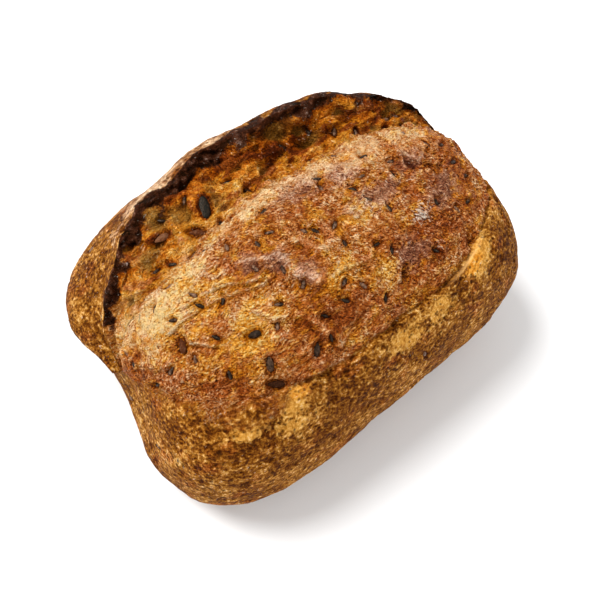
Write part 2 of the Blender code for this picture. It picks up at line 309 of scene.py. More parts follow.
DARK_PATCHES = (
    (1.92, 56, 0.34, 11), (1.38, 55, 0.2, 8), (0.92, 46, 0.2, 6), (0.34, 52, 0.14, 14),
    (2.3, 66, 0.22, 14), (2.2, 118, 0.5, 9), (1.6, 124, 0.3, 5),
    # these are on the crust
    (1.27, 26, 0.08, 6), (2.2, 24, 0.3, 10), (0.62, 20, 0.2, 12),
)
FLOURY_PATCHES = (
    (1.12, 34, 0.05, 3.5), (1.09, 29, 0.07, 4.5), (0.93, 29, 0.12, 4), (1.62, 33, 0.12, 5),
    (1.82, 35, 0.1, 5), (2.07, 37, 0.1, 5),
)
WALL_HOLLOWS = (
    (0.93, 124, 0.08, 3.6), (1.08, 118.5, 0.035, 1.8), (0.7, 120.5, 0.06, 2.4),
    (0.45, 118.5, 0.035, 1.8), (1.87, 118.5, 0.07, 2.6), (1.72, 126, 0.08, 2),
    (1.84, 124, 0.05, 1.6), (2.08, 124.5, 0.04, 1.4), (2.29, 114, 0.03, 2),
    (2.5, 126.5, 0.08, 1.6), (2.64, 120.5, 0.1, 3),
)
FLOUR_SPOT = (1.97, 64, 0.07, 4)

# Folds of the bloom: ring and angle of both ends, half width and height
FOLDS = (
    (0.62, 73, 0.83, 76.5, 0.0009, 0.0019), (0.83, 76.5, 1.16, 73.5, 0.001, 0.002),
    (0.76, 81, 0.95, 81, 0.0009, 0.0016), (0.95, 81, 1.17, 75, 0.001, 0.002),
    (0.72, 64.5, 0.86, 60, 0.0009, 0.0019), (1.05, 67.5, 1.16, 61, 0.0009, 0.0018),
    (1.13, 85.5, 1.26, 80, 0.0026, 0.0026), (1.26, 80, 1.38, 66, 0.0027, 0.0025),
    (2.23, 108, 2.13, 84, 0.001, 0.002), (1.96, 99, 1.98, 91, 0.001, 0.0019),
    (1.98, 91, 2.01, 79, 0.0013, 0.002), (2.14, 90, 2.3, 73, 0.0014, 0.0024),
    (1.38, 83, 1.46, 74, 0.0016, 0.002), (1.48, 65, 1.64, 63, 0.0012, 0.002),
    (1.62, 100, 1.76, 84, 0.0013, 0.002), (1.68, 52, 1.75, 55, 0.001, 0.002),
    (1.24, 60, 1.36, 47, 0.0013, 0.0016),
    # these are on the torn wall
    (1.4, 124, 1.58, 120.5, 0.0018, 0.003), (1.58, 120.5, 1.71, 119.5, 0.002, 0.0034),
    (0.8, 122, 0.95, 119.5, 0.0012, 0.0026), (1.78, 122, 2, 118.5, 0.0016, 0.0026),
    (2, 118.5, 2.3, 122.5, 0.0015, 0.0024),
)
RING_LENGTH, DEGREE_LENGTH = 0.085, 0.0016  # roughly, for measuring near the folds
FOLD_WIND = ((0.0024, 0.014), (0.001, 0.005))

# Holes that bubbles left, and craters round large seeds: ring, angle, radius, depth. Their colour is
# painted darker, as shade in them
CRATERS = (
    (0.331, 79, 0.005, 0.003), (0.655, 67, 0.0055, 0.0022), (1.804, 119, 0.007, 0.0035),
    (1.64, 118, 0.0055, 0.0025), (2.173, 81, 0.0036, 0.0026), (2.087, 42, 0.0032, 0.002),
    (1.74, 52.5, 0.0036, 0.0026),
)

# Seeds: length, width and thickness
FLAX = (0.005, 0.0027, 0.002)
SUNFLOWER = (0.01, 0.0052, 0.0036)
KERNEL = (0.0085, 0.0052, 0.0032)
PUMPKIN = (0.0145, 0.0078, 0.004)
LARGE_SEEDS = (  # size, ring, angle, turn in degrees
    (PUMPKIN, 1.195, 116.5, 19),
    (SUNFLOWER, 1.06, 113.8, 102),
    (SUNFLOWER, 0.875, 120, 139),
    (SUNFLOWER, 0.685, 65, 25),
    (SUNFLOWER, 1.075, 43, 97),
    (KERNEL, 1.258, 48, 5),
    (KERNEL, 1.071, 49.6, 19),
    (KERNEL, 1.122, 46.3, 157),
    (KERNEL, 1.039, 60, 119),
)
FLAX_IN_OPENING = 94
FLAX_ON_CRUST = 18
SEED_MARGIN = 6  # degrees kept clear beside the crust's edge and the ear
SEED_GAP = 0.001  # between one seed and the next
SEED_CLEARANCE = 0.012  # over the floor
SEED_SUNK = 0.12  # the share of a seed's thickness by which its middle lies below the crust
MOST_SUNK = 0.2  # a seed lies deeper by up to this share of its thickness
SEED_SIDES, SEED_BANDS = 16, 14
SEED_TIP = 12  # degrees by which one end may lie higher
SEED_SCALES = (0.86, 1.08)
SEED_KEEL = 1.4  # 1 is a round rim, more is sharper
SEED_DIMPLE = (0.0006, 0.0004, 0.0008)  # the crust's dip, how far in it starts to fade, its spread
SEED_MOUND = (0.0006, 0.0016, 0.0008)  # the crust's rise round a seed, how far off, and its spread
SEED_SHADE = 0.0006  # the crust is painted darker this far round it, as shade where it meets the seed
PLASTIC_NUMBER = 1.32472  # multiples of its inverse powers spread spots evenly over an area
SPOT_JITTER = 0.03


def crests(points, spacing):
    """Thin crests from 0 to 1 with broad hollows between them, as strands on a skin."""
    away = np.abs(grain(points, np.array(spacing)))
    return np.maximum(1 - CREST_NARROWING * away, 0) ** CREST_POWER


def bent(points, shift):
    """The points moved by smooth noise, so that strands drawn on them wind."""
    reach, spacing = BEND
    moves = [grain(points + shift + apart, spacing) for apart in BEND_APART]
    return points + shift + reach * np.stack(moves, axis=-1)


def patches(ring, degrees, spots):
    """The strongest of several soft patches at each point, from 0 to 1."""
    total = np.zeros_like(ring + degrees)
    for at_ring, angle, ring_spread, angle_spread in spots:
        soft = bell((ring - at_ring) / ring_spread) * bell((degrees - angle) / angle_spread)
        total = np.maximum(total, soft)
    return total


def fold_ridges(points, ring, degrees):
    """Heights of the folds, and how much of a fold each point is: up to 1 on a crest, where a
    highlight is painted, and down to -1 in the crease on its lower side, where shade is painted.
    """
    height, tone = np.zeros_like(ring), np.zeros_like(ring)
    along = ring * RING_LENGTH + bumps(points, FOLD_WIND)
    across = degrees * DEGREE_LENGTH + bumps(points + 5, FOLD_WIND)
    for ring_a, angle_a, ring_b, angle_b, width, rise in FOLDS:
        start = np.array([ring_a * RING_LENGTH, angle_a * DEGREE_LENGTH])
        run = np.array([ring_b * RING_LENGTH, angle_b * DEGREE_LENGTH]) - start
        along_it, across_it = along - start[0], across - start[1]
        t = np.clip((along_it * run[0] + across_it * run[1]) / (run @ run), 0, 1)
        distance = np.hypot(along_it - t * run[0], across_it - t * run[1])
        side = (across_it * run[0] - along_it * run[1]) / math.hypot(*run)
        crest = bell(distance / width)
        crease = bell(distance / (2.2 * width)) * (side < 0) * (1 - crest)
        height += rise * (crest - 0.5 * crease)
        tone = np.where(np.abs(crest - crease) > np.abs(tone), crest - crease, tone)
    return height, tone


def between(value, span):
    """0 before the span, 1 after it, and smooth in it."""
    return smooth_step((value - span[0]) / (span[1] - span[0]))


def layered(*layers):
    """The height and tone of several reliefs together: each with its sizes, and its values."""
    height = sum(rise * values for (rise, _, _), values in layers)
    tone = sum(light * values for (_, _, light), values in layers)
    return height, tone


def bloom_relief(points, ring):
    """The height and the tone, dark to light, of what rose out of the opening, and a mask.

    The mask goes from 0 where its strands run along the loaf to 1 where they run across it.
    """
    wound = bent(points, 0)
    across = between(ring + 0.5 * grain(points + 4, 0.03), FIBRES_START)
    height, tone = layered(
        (BLOOM_FOLDS, crests(wound, BLOOM_FOLDS[1])),
        (BLOOM_STRANDS, crests(wound + 1, BLOOM_STRANDS[1]) * (1 - 0.8 * across)),
        (BLOOM_FIBRES, crests(wound + 2, BLOOM_FIBRES[1]) * (0.2 + 0.8 * across)),
        (BLOOM_CRACKLE, crests(bent(points, 5), BLOOM_CRACKLE[1])),
        (BLOOM_LUMPS, grain(points, BLOOM_LUMPS[1])),
        (BLOOM_BLISTERS, np.abs(grain(points, BLOOM_BLISTERS[1]))),
    )
    return height, tone - 0.9, across


def wall_relief(points, ring, degrees):
    """The height and tone of the torn wall, and its hollows from 0 to 1."""
    wound = bent(points, 0)
    strands = crests(wound, TORN_STRANDS[1])
    flaps = grain(wound, TORN_FLAPS[1])
    height, tone = layered(
        (TORN_STRANDS, strands),
        (TORN_THREADS, crests(wound + 3, TORN_THREADS[1])),
        (TORN_FLAPS, flaps),
        (TORN_SHREDS, grain(points, TORN_SHREDS[1])),
    )
    hollows = between(grain(wound + 9, HOLLOW_SPACING) - 0.5 * strands, (0.05, 0.5))
    hollows = np.maximum(0.7 * hollows, patches(ring, degrees + 1.5 * flaps, WALL_HOLLOWS))
    return height - HOLLOW_DEPTH * hollows, tone - 0.5, hollows


def crust_relief(points):
    """The height and tone of the floury crust."""
    return layered(
        (CRUST_PEBBLES, grain(points, CRUST_PEBBLES[1])),
        (CRUST_PITS, between(grain(points + 6, CRUST_PITS[1]), (0.25, 0.5))),
        (CRUST_WAVES, grain(points, CRUST_WAVES[1])),
    )


def regions(ring, degrees, unevenly):
    """How far each point is in the opening, and how far on the torn wall in it, from 0 to 1."""
    past_edge = degrees - EDGE_ANGLE
    past_lip = degrees - EAR_ANGLE
    merged = 1 - between(ring, MERGE_RINGS)
    over_edge = (1 - merged) * smooth_step(past_edge / EDGE_BLUR)
    over_edge += merged * smooth_step(0.5 + past_edge / MERGE_WIDTH + 0.6 * unevenly)
    opening = over_edge * (1 - smooth_step((past_lip + LIP_BLUR) / LIP_BLUR))
    blur = RIM_BLUR[1] + (RIM_BLUR[0] - RIM_BLUR[1]) * (1 - between(ring, RIM_START))
    wall = opening * smooth_step((degrees - RIM_ANGLE + WALL_STRAY * unevenly) / blur + 0.2)
    return opening, wall * between(ring, WALL_START)


def burnt_regions(points, ring, past_lip, unevenly):
    """How far each point is charred, blistered by it, or on the bare crust behind the ear."""
    band = np.interp(ring, *zip(*CHAR_BAND)) * (1 + 1.2 * grain(points + 2, 0.009))
    outer_band = np.interp(ring, *zip(*CHAR_OUTSIDE)) * (1 + 1.2 * unevenly)
    burnt_inside = between(past_lip + band, CHAR_BLUR) * between(ring, CHAR_START)
    charred = burnt_inside * (1 - between(past_lip / outer_band, (0.2, 1)))
    blistered = burnt_inside * (1 - between(past_lip, (-1, 0.5)))
    bare = bell((past_lip - BARE_BAND[0]) / BARE_BAND[1]) * smooth_step((past_lip + 1) / 2)
    bare *= between(ring, BARE_RINGS[0]) * (1 - between(ring, BARE_RINGS[1]))
    return charred, blistered, bare


def fine_relief(points, ring, degrees):
    """Height of the fine relief at each point, and the masks that the colours follow."""
    past_edge = degrees - EDGE_ANGLE
    past_lip = degrees - EAR_ANGLE
    grown = between(ring, STEP_GROWS)
    at_tips = smooth_step(np.sin(ring) / TIP_CALM)
    unevenly = grain(points + 8, 0.011)
    opening, wall = regions(ring, degrees, unevenly)
    bloom = opening - wall
    outside = 1 - opening

    bloom_height, bloom_tone, across = bloom_relief(points, ring)
    fold_height, folded = fold_ridges(points, ring, degrees)
    wall_height, wall_tone, hollows = wall_relief(points, ring, degrees)
    crust_height, crust_tone = crust_relief(points)
    charred, blistered, bare = burnt_regions(points, ring, past_lip, unevenly)
    blisters = 2 * np.abs(grain(points, BLISTER_SPACING)) - 0.5

    rim_starts = between(ring, RIM_START)
    rim = bell((degrees - RIM_ANGLE) / RIM_SPREAD) * rim_starts * (0.7 + unevenly)
    pocket = wall * bell((degrees - RIM_ANGLE - POCKET[0]) / POCKET[1]) * rim_starts
    broken = between(grain(points + 3, 0.009) + 0.25, (-0.2, 0.4)) * grown
    ridge = bell((past_edge + EDGE_WIDTH) / EDGE_WIDTH) * broken
    sliver = bell((past_edge + 0.4) / 0.25) * bell((ring - SLIVER[0]) / SLIVER[1])
    # The crust's edge dips into a crease, which the relief mask also paints darker, as painted shade.
    crease = bell((past_edge - EDGE_WIDTH) / EDGE_WIDTH) * grown * (0.25 + 0.75 * (1 - broken))

    height = (
        bloom * bloom_height * (1 - 0.6 * np.abs(folded)) + opening * fold_height
        + wall * wall_height + outside * crust_height
        + BLISTER_HEIGHT * blistered * blisters
        + RIM_RISE * rim + EDGE_RIDGE * ridge - EDGE_CREASE * crease
    )
    masks = {
        "opening": opening,
        "across": across,
        "wall": wall,
        "charred": charred,
        # relief paints colours lighter on what stands proud (crests of strands and folds, the char's
        # blisters) and darker in what sinks (hollows, the creases of the folds and of the edge):
        # partly the crust's own colour, partly painted highlight and painted shade
        "relief": bloom * (bloom_tone + 1.2 * folded) + wall * wall_tone + outside * crust_tone
        + charred * blisters - crease,
        "hollow": wall * hollows,
        "folded": opening * folded,
        "pocket": pocket,
        "upper": wall * between(degrees + UPPER_STRAY * unevenly, UPPER_WALL),
        "pale": patches(ring, degrees, PALE_PATCHES) * opening,
        "gold": patches(ring, degrees, GOLD_PATCHES),
        "dusty": patches(ring, degrees, DUSTY_PATCHES) * bloom,
        "dark": patches(ring, degrees, DARK_PATCHES),
        "floury": patches(ring, degrees, FLOURY_PATCHES) * outside,
        "flour": patches(ring, degrees, (FLOUR_SPOT,)),
        "sliver": sliver,
        "bare": bare,
    }
    return height * at_tips, masks


def wobbled(ring, degrees):
    """How far, in degrees, the surface is pulled by the wobble of its torn lines."""
    total = np.zeros_like(ring)
    lines = ((EAR_ANGLE, LIP_WOBBLE), (RIM_ANGLE, RIM_WOBBLE), (EDGE_ANGLE, EDGE_WOBBLE))
    for k, (angle, layers) in enumerate(lines):
        line = np.stack([ring * WOBBLE_RUN, np.full_like(ring, k), np.zeros_like(ring)], axis=-1)
        total += bumps(line, layers) * bell((degrees - angle) / WOBBLE_REACH)
    return total


def surface_normals(points):
    """Normals of a grid of points, rings by longitudes, that closes round the loaf."""
    along = np.gradient(points, axis=0)
    round_it = np.roll(points, -1, axis=1) - np.roll(points, 1, axis=1)
    normal = np.cross(along, round_it)
    return normal / np.maximum(np.linalg.norm(normal, axis=-1, keepdims=True), 1e-12)


def longitudes():
    """Their angles in degrees: close together on what shows, far apart underneath."""
    spans = (  # from, to, how many
        (EAR_ANGLE + 1, 150, 22),
        (150, 205, 30),
        (205, 340, 34),
        (340, 360 + EDGE_ANGLE - 2, 52),
        (360 + EDGE_ANGLE - 2, 360 + EDGE_ANGLE + 4, 12),
        (360 + EDGE_ANGLE + 4, 360 + TROUGH_ANGLE - 16, 84),
        (360 + TROUGH_ANGLE - 16, 360 + EAR_ANGLE - 7, 46),
        (360 + EAR_ANGLE - 7, 360 + EAR_ANGLE + 1, 18),
    )
    return np.concatenate([np.linspace(a, b, n, endpoint=False) for a, b, n in spans]) % 360


def spot_on_crust(ring, angle):
    return crust(np.array([ring]), np.array([angle]))[0]


def dig_craters(points):
    """Heights of the craters, and their mask, which paints shade in them."""
    height = np.zeros(points.shape[:-1])
    mask = np.zeros(points.shape[:-1])
    for ring, angle, radius, depth in CRATERS:
        inside = bell(np.linalg.norm(points - spot_on_crust(ring, angle), axis=-1) / radius)
        height -= depth * inside
        mask = np.maximum(mask, inside)
    return height, mask


def from_seeds(points, seeds):
    """How far each point is outside the nearest seed's outline, and less than 0 inside it."""
    tree = KDTree(len(seeds))
    for k, seed in enumerate(seeds):
        tree.insert(seed.spot, k)
    tree.balance()
    into = [seed.place.inverted() for seed in seeds]
    outside = np.zeros(len(points.reshape(-1, 3)))
    for k, point in enumerate(points.reshape(-1, 3)):
        _, nearest, _ = tree.find(point)
        length, width, _ = seeds[nearest].size
        across, _, along = into[nearest] @ Vector(point)
        outside[k] = (math.hypot(across / (width / 2), along / (length / 2)) - 1) * width / 2
    return outside.reshape(points.shape[:-1])


def loaf_points(seeds):
    """The loaf's grid of points, and its masks."""
    rings = np.linspace(0, math.pi, RINGS + 1)[1:-1]
    ring, degrees = np.meshgrid(rings, longitudes(), indexing="ij")
    smooth = crust(ring, degrees, wobbled(ring, degrees))
    height, masks = fine_relief(smooth, ring, degrees)
    pit_height, masks["crater"] = dig_craters(smooth)
    outside = from_seeds(smooth - np.array(MIDDLE), seeds)
    dip, inside, fade = SEED_DIMPLE
    rise, away, spread = SEED_MOUND
    under = bell(np.maximum(outside + inside, 0) / fade)
    # The crust round each seed's outline is painted darker, as shade where seed and crust meet.
    masks["seeded"] = bell(np.maximum(outside, 0) / SEED_SHADE)
    height = (height + pit_height) * (1 - under) - dip * under
    height += rise * bell((outside - away) / spread)
    points = smooth + surface_normals(smooth) * height[..., None]
    points[..., 2] = np.maximum(points[..., 2], 0)
    return points - np.array(MIDDLE), masks


def grid_faces(count, around, first=0):
    """Faces of a grid of rings, closed by a point for each end that comes after its corners."""
    index = first + np.arange(count * around).reshape(count, around)
    after = np.roll(index, -1, axis=1)
    quads = np.stack([index[:-1], after[:-1], after[1:], index[1:]], axis=-1)
    start = first + count * around
    faces = quads.reshape(-1, 4).tolist()
    faces += [(start, int(b), int(a)) for a, b in zip(index[0], after[0])]
    faces += [(start + 1, int(a), int(b)) for a, b in zip(index[-1], after[-1])]
    return faces


def add_object(name, data):
    thing = bpy.data.objects.new(name, data)
    bpy.context.scene.collection.objects.link(thing)
    return thing


def add_piece(name, corners, faces, masks, finish):
    """A smooth object in place of the loaf's solid. masks are values for each corner, by name."""
    mesh = bpy.data.meshes.new(name)
    mesh.from_pydata(corners, [], faces)
    mesh.shade_smooth()
    for mask, values in masks.items():
        mesh.attributes.new(mask, "FLOAT", "POINT").data.foreach_set("value", values)
    mesh.materials.append(finish)
    piece = add_object(name, mesh)
    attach(piece, "root")
    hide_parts("loaf")


def make_loaf(seeds):
    """The crust as one closed mesh. The point at each end has the mean of the nearest ring."""
    points, masks = loaf_points(seeds)
    corners = np.concatenate([points.reshape(-1, 3), points[[0, -1]].mean(axis=1)])
    values = {
        name: np.append(mask.ravel(), mask[[0, -1]].mean(axis=1)).astype(np.float32)
        for name, mask in masks.items()
    }
    add_piece("crust", corners.tolist(), grid_faces(*points.shape[:2]), values, crust_material())


# Seeds


class Seed:
    """A place on the crust for a seed of a size, and how it lies there."""

    def __init__(self, size, spot, normal, turn):
        self.size, self.spot = size, spot
        lengthwise = Matrix.Rotation(math.radians(turn), 3, normal) @ normal.orthogonal().normalized()
        axes = Matrix((lengthwise.cross(normal), normal, lengthwise)).transposed()
        middle = spot - normal * SEED_SUNK * size[2]
        self.place = Matrix.Translation(middle) @ axes.to_4x4()


def spread_spots(count, low, high, draw):
    """(ring, angle) spots spread evenly over a band of longitudes, each a little off its place."""
    for k in range(1, count + 1):
        share_along = (k / PLASTIC_NUMBER + draw.uniform(-SPOT_JITTER, SPOT_JITTER)) % 1
        share_round = (k / PLASTIC_NUMBER**2 + draw.uniform(-SPOT_JITTER, SPOT_JITTER)) % 1
        yield math.acos(1 - 2 * share_along), low + share_round * (high - low)


def seed_plan():
    """(size, ring, angle, turn) of each seed, the largest first."""
    draw = random.Random(7)
    yield from LARGE_SEEDS
    bands = (
        (FLAX_IN_OPENING, EDGE_ANGLE + SEED_MARGIN, EAR_ANGLE - SEED_MARGIN),
        (FLAX_ON_CRUST, EAR_ANGLE + SEED_MARGIN, 360 + EDGE_ANGLE - SEED_MARGIN),
    )
    for count, low, high in bands:
        for ring, angle in spread_spots(count, low, high, draw):
            yield FLAX, ring, angle, draw.uniform(0, 180)


def place_seeds():
    """Each planned seed, apart from those too near another or the floor."""
    seeds = []
    step = 0.01
    for size, ring, angle, turn in seed_plan():
        spot = Vector(spot_on_crust(ring, angle)) - MIDDLE
        along = Vector(spot_on_crust(ring + step, angle)) - Vector(spot_on_crust(ring - step, angle))
        round_it = Vector(spot_on_crust(ring, angle + 1)) - Vector(spot_on_crust(ring, angle - 1))
        normal = along.cross(round_it).normalized()
        crowded = any(
            (spot - other.spot).length < (size[0] + other.size[0]) / 2 + SEED_GAP for other in seeds
        )
        if crowded or spot.z < SEED_CLEARANCE:
            continue
        seeds.append(Seed(size, spot, normal, turn))
    return seeds


def seed_outline(along, pointed, bluntness):
    """The share of a seed's width at a share of its length. pointed is how much it narrows."""
    return (4 * along * (1 - along)) ** bluntness * (1 - pointed * along)


def make_seeds(name, size, seeds, pointed, bluntness, finish):
    """All seeds of one kind as one mesh: flat drops with a keeled rim."""
    width, thickness = size[1] / 2, size[2] / 2
    along = (1 - np.cos(np.linspace(0, math.pi, SEED_BANDS + 1)[1:-1])) / 2
    turn = np.linspace(0, 2 * math.pi, SEED_SIDES, endpoint=False)
    half = seed_outline(along, pointed, bluntness)[:, None]
    keel = np.sign(np.sin(turn)) * np.abs(np.sin(turn)) ** SEED_KEEL
    local = np.stack([
        half * width * np.cos(turn),
        half * thickness * keel,
        (along[:, None] - 0.5) * size[0] * np.ones_like(turn),
    ], axis=-1)
    drop = [Vector(point) for point in local.reshape(-1, 3)]
    drop += [Vector((0, 0, -size[0] / 2)), Vector((0, 0, size[0] / 2))]
    draw = random.Random(3)
    corners, faces, tints = [], [], []
    for seed in seeds:
        if seed.size is not size:
            continue
        scale = draw.uniform(*SEED_SCALES)
        sunk = Matrix.Translation((0, -draw.uniform(0, MOST_SUNK) * size[2], 0))
        tip = Matrix.Rotation(math.radians(draw.uniform(-SEED_TIP, SEED_TIP)), 4, "X")
        place = seed.place @ sunk @ tip
        faces += grid_faces(SEED_BANDS - 1, SEED_SIDES, len(corners))
        corners += [tuple(place @ (point * scale)) for point in drop]
        tints += [draw.random()] * len(drop)
    add_piece(name, corners, faces, {"tint": tints}, finish)


# Materials


def colour(red, green, blue):
    """A colour given as it looks, from 0 to 255, made linear."""
    linear = [((c / 255 + 0.055) / 1.055) ** 2.4 if c > 10 else c / 255 / 12.92
              for c in (red, green, blue)]
    return (*linear, 1)


NOISE_SHIFT = 0.01  # metres for each whole number by which a noise is shifted


class Shader:
    """A material's node tree, with short ways to add nodes and join them."""

    def __init__(self, name):
        self.material = bpy.data.materials.new(name)
        self.material.use_nodes = True
        self.tree = self.material.node_tree
        self.surface = self.tree.nodes["Principled BSDF"]
        self.place = self.node("TexCoord", {}).outputs["Object"]

    def feed(self, node, inputs):
        """Gives a node's inputs, by name or number, their values or the sockets they follow."""
        for key, value in inputs.items():
            if isinstance(value, bpy.types.NodeSocket):
                self.tree.links.new(value, node.inputs[key])
            else:
                node.inputs[key].default_value = value

    def node(self, kind, inputs, **settings):
        node = self.tree.nodes.new("ShaderNode" + kind)
        for name, setting in settings.items():
            setattr(node, name, setting)
        self.feed(node, inputs)
        return node

    def math(self, operation, *values):
        return self.node("Math", dict(enumerate(values)), operation=operation).outputs[0]

    def add(self, *values):
        total = values[0]
        for value in values[1:]:
            total = self.math("ADD", total, value)
        return total

    def times(self, a, b):
        return self.math("MULTIPLY", a, b)

    def swing(self, value, strength):
        """A 0..1 value made to swing by strength on both sides of 0."""
        return self.math("MULTIPLY_ADD", value, 2 * strength, -strength)

    def spread(self, value, low, high, to_low=0, to_high=1):
        """Maps low..high to to_low..to_high, and stops at both ends."""
        return self.node("MapRange", dict(enumerate((value, low, high, to_low, to_high)))).outputs[0]

    def mask(self, name):
        return self.node("Attribute", {}, attribute_name=name).outputs["Fac"]

    def wound(self, reach, spacing):
        """The place moved about by smooth noise, so that what is drawn on it winds."""
        moves = self.noise(spacing, detail=1, shift=9).node.outputs["Color"]
        inputs = {0: moves, 1: (2 * reach,) * 3, 2: self.place}
        return self.node("VectorMath", inputs, operation="MULTIPLY_ADD").outputs[0]

    def stretched(self, place, spacing, shift, turn):
        """Coordinates in spacings, along axes turned by so many degrees."""
        inputs = {
            "Vector": place or self.place,
            "Location": (shift * NOISE_SHIFT,) * 3,
            "Rotation": (0, 0, math.radians(turn)),
            "Scale": spacing if isinstance(spacing, tuple) else (spacing,) * 3,
        }
        return self.node("Mapping", inputs, vector_type="TEXTURE").outputs[0]

    def noise(self, spacing, detail=3, roughness=0.55, distortion=0, shift=0, turn=0,
              place=None):
        """Noise from 0 to 1. spacing is in metres, one for each axis or one for all."""
        inputs = {
            "Vector": self.stretched(place, spacing, shift, turn),
            "Scale": 1,
            "Detail": detail,
            "Roughness": roughness,
            "Distortion": distortion,
        }
        return self.node("TexNoise", inputs).outputs[0]

    def cells(self, place, spacing, shift, turn):
        """The distance, in spacings, from the middle of the nearest of many scattered cells."""
        inputs = {"Vector": self.stretched(place, spacing, shift, turn), "Scale": 1}
        return self.node("TexVoronoi", inputs).outputs["Distance"]

    def crest(self, value, width):
        """Thin bright lines where noise is near its middle value."""
        away = self.math("ABSOLUTE", self.math("SUBTRACT", value, 0.5))
        return self.spread(away, 0, width, 1, 0)

    def strands(self, place, spacing, width, shift, turn):
        """Thin winding lines, longer along one way than across it."""
        return self.crest(self.noise(spacing, 1.5, shift=shift, turn=turn, place=place), width)

    def web(self, place, spacing, shift, turn):
        """A web of thin ridges, 1 on them, round hollows that go down to 0."""
        return self.spread(self.cells(place, spacing, shift, turn), 0.05, 0.8)

    def glints(self, spacing, shift):
        """Scattered specks, 1 at their middles and 0 between them."""
        return self.spread(self.cells(None, spacing, shift, 0), 0.16, 0.38, 1, 0)

    def ramp(self, value, stops):
        """stops are positions, each with the red, green and blue of its colour."""
        node = self.node("ValToRGB", {"Fac": value})
        elements = node.color_ramp.elements
        while len(elements) < len(stops):
            elements.new(0.5)
        for element, (position, *shade) in zip(elements, stops):
            element.position = position
            element.color = colour(*shade)
        return node.outputs["Color"]

    def mix(self, share, a, b):
        return self.node("Mix", {"Factor": share, "A": a, "B": b}, data_type="RGBA").outputs["Result"]

    def bump(self, height, distance, below=None):
        """Normals roughened by a height, on top of other roughened ones where they are given."""
        node = self.node("Bump", {"Height": height, "Distance": distance})
        if below is not None:
            self.feed(node, {"Normal": below})
        return node.outputs[0]

    def coat(self, **inputs):
        """Gives the surface's inputs their values, and hands over the material."""
        named = {name.replace("_", " "): value for name, value in inputs.items()}
        self.feed(self.surface, named)
        return self.material


BLOOM_STOPS = (
    (0, 36, 9, 0), (0.18, 88, 33, 2), (0.38, 142, 68, 14), (0.56, 186, 103, 36),
    (0.74, 214, 144, 80), (0.88, 232, 178, 118), (1, 248, 214, 168),
)
GOLDEN_STOPS = (
    (0, 60, 20, 0), (0.25, 130, 60, 3), (0.5, 202, 118, 20), (0.75, 236, 168, 66),
    (1, 252, 218, 146),
)
RUDDY_STOPS = (
    (0, 38, 9, 2), (0.3, 104, 38, 8), (0.55, 166, 80, 28), (0.8, 210, 134, 80), (1, 240, 194, 152),
)
MAUVE_STOPS = (
    (0, 50, 18, 12), (0.3, 100, 50, 36), (0.6, 156, 100, 72), (0.85, 204, 152, 122),
    (1, 232, 192, 166),
)
WALL_STOPS = (
    (0, 34, 9, 0), (0.2, 96, 34, 2), (0.42, 166, 78, 8), (0.62, 214, 126, 32), (0.8, 238, 176, 88),
    (1, 250, 216, 152),
)
TORN_RED_STOPS = (
    (0, 34, 8, 2), (0.3, 86, 30, 8), (0.55, 150, 66, 18), (0.78, 202, 116, 58), (1, 240, 190, 150),
)
CREAM_STOPS = (
    (0, 110, 44, 4), (0.25, 174, 92, 20), (0.5, 220, 138, 56), (0.75, 242, 174, 98),
    (1, 252, 212, 150),
)
HOLLOW_STOPS = (
    (0, 28, 13, 2), (0.35, 92, 56, 12), (0.65, 156, 108, 42), (1, 212, 170, 102),
)
# The char's lightest colours are partly painted highlights on its gloss and partly grey dust on it.
CHAR_STOPS = (
    (0, 16, 4, 0), (0.35, 52, 20, 8), (0.6, 86, 48, 30), (0.8, 124, 92, 76), (1, 182, 160, 148),
)
CRUST_STOPS = (
    (0, 48, 18, 1), (0.2, 86, 40, 4), (0.42, 128, 74, 16), (0.62, 170, 112, 40),
    (0.82, 214, 162, 88), (1, 244, 214, 164),
)
FLOURY_STOPS = (
    (0, 112, 56, 6), (0.4, 178, 116, 36), (0.7, 218, 160, 74), (1, 244, 204, 136),
)
BARE_STOPS = (
    (0, 96, 60, 36), (0.4, 160, 118, 84), (0.7, 204, 164, 126), (1, 232, 204, 170),
)


class Grain:
    """The noises and lines that the crust's colours and bumps share."""

    def __init__(self, s):
        place = s.wound(0.003, 0.012)
        hairs = s.noise((0.0034, 0.0008, 0.0008), detail=2, shift=91, turn=8, place=place)
        crossing = s.noise((0.0031, 0.0008, 0.0008), detail=2, shift=93, turn=-52, place=place)
        along = s.strands(place, (0.0055, 0.0013, 0.0013), 0.13, 11, 8)
        aslant = s.strands(place, (0.005, 0.0012, 0.0012), 0.13, 15, -52)
        curled = s.strands(s.wound(0.004, 0.007), (0.0034, 0.001, 0.001), 0.13, 17, 40)
        flat = s.noise((0.0056, 0.003, 0.003), 1, distortion=1.2, shift=95, turn=20, place=place)
        self.shader = s
        self.noises = {
            "fine": s.noise(0.001, detail=3, roughness=0.7, distortion=0.5),
            "hairs": s.add(s.times(s.mask("across"), s.math("SUBTRACT", crossing, hairs)), hairs),
            "middle": s.noise(0.0042, detail=4, roughness=0.6, distortion=0.8, shift=3),
            "broad": s.noise(0.022, detail=3, shift=7),
            "web": s.web(place, (0.0085, 0.0036, 0.0036), 71, 12),
            "mesh": s.web(place, (0.0034, 0.0018, 0.0018), 73, -30),
        }
        self.lines = {
            "threads": s.math("MAXIMUM", s.math("MAXIMUM", along, aslant), curled),
            "gaps": s.strands(place, (0.0042, 0.0016, 0.0016), 0.14, 19, -20),
            "flakes": s.spread(flat, 0.49, 0.55, -0.5, 0.5),
        }
        self.roughly = s.times(
            s.spread(s.noise(0.016, detail=2, shift=81), 0.38, 0.6, 0.75, 1.15),
            s.spread(s.math("ABSOLUTE", s.mask("folded")), 0, 1, 1, 0.85),
        )

    def blend(self, *values, **weights):
        """Adds up values, and noises, lines and masks by name, each times its weight.

        Noises swing by their weight on both sides of 0.
        """
        s = self.shader
        for name, weight in weights.items():
            if name in self.noises:
                values += (s.swing(self.noises[name], weight),)
            else:
                values += (s.times(self.lines.get(name) or s.mask(name), weight),)
        return s.add(*values)


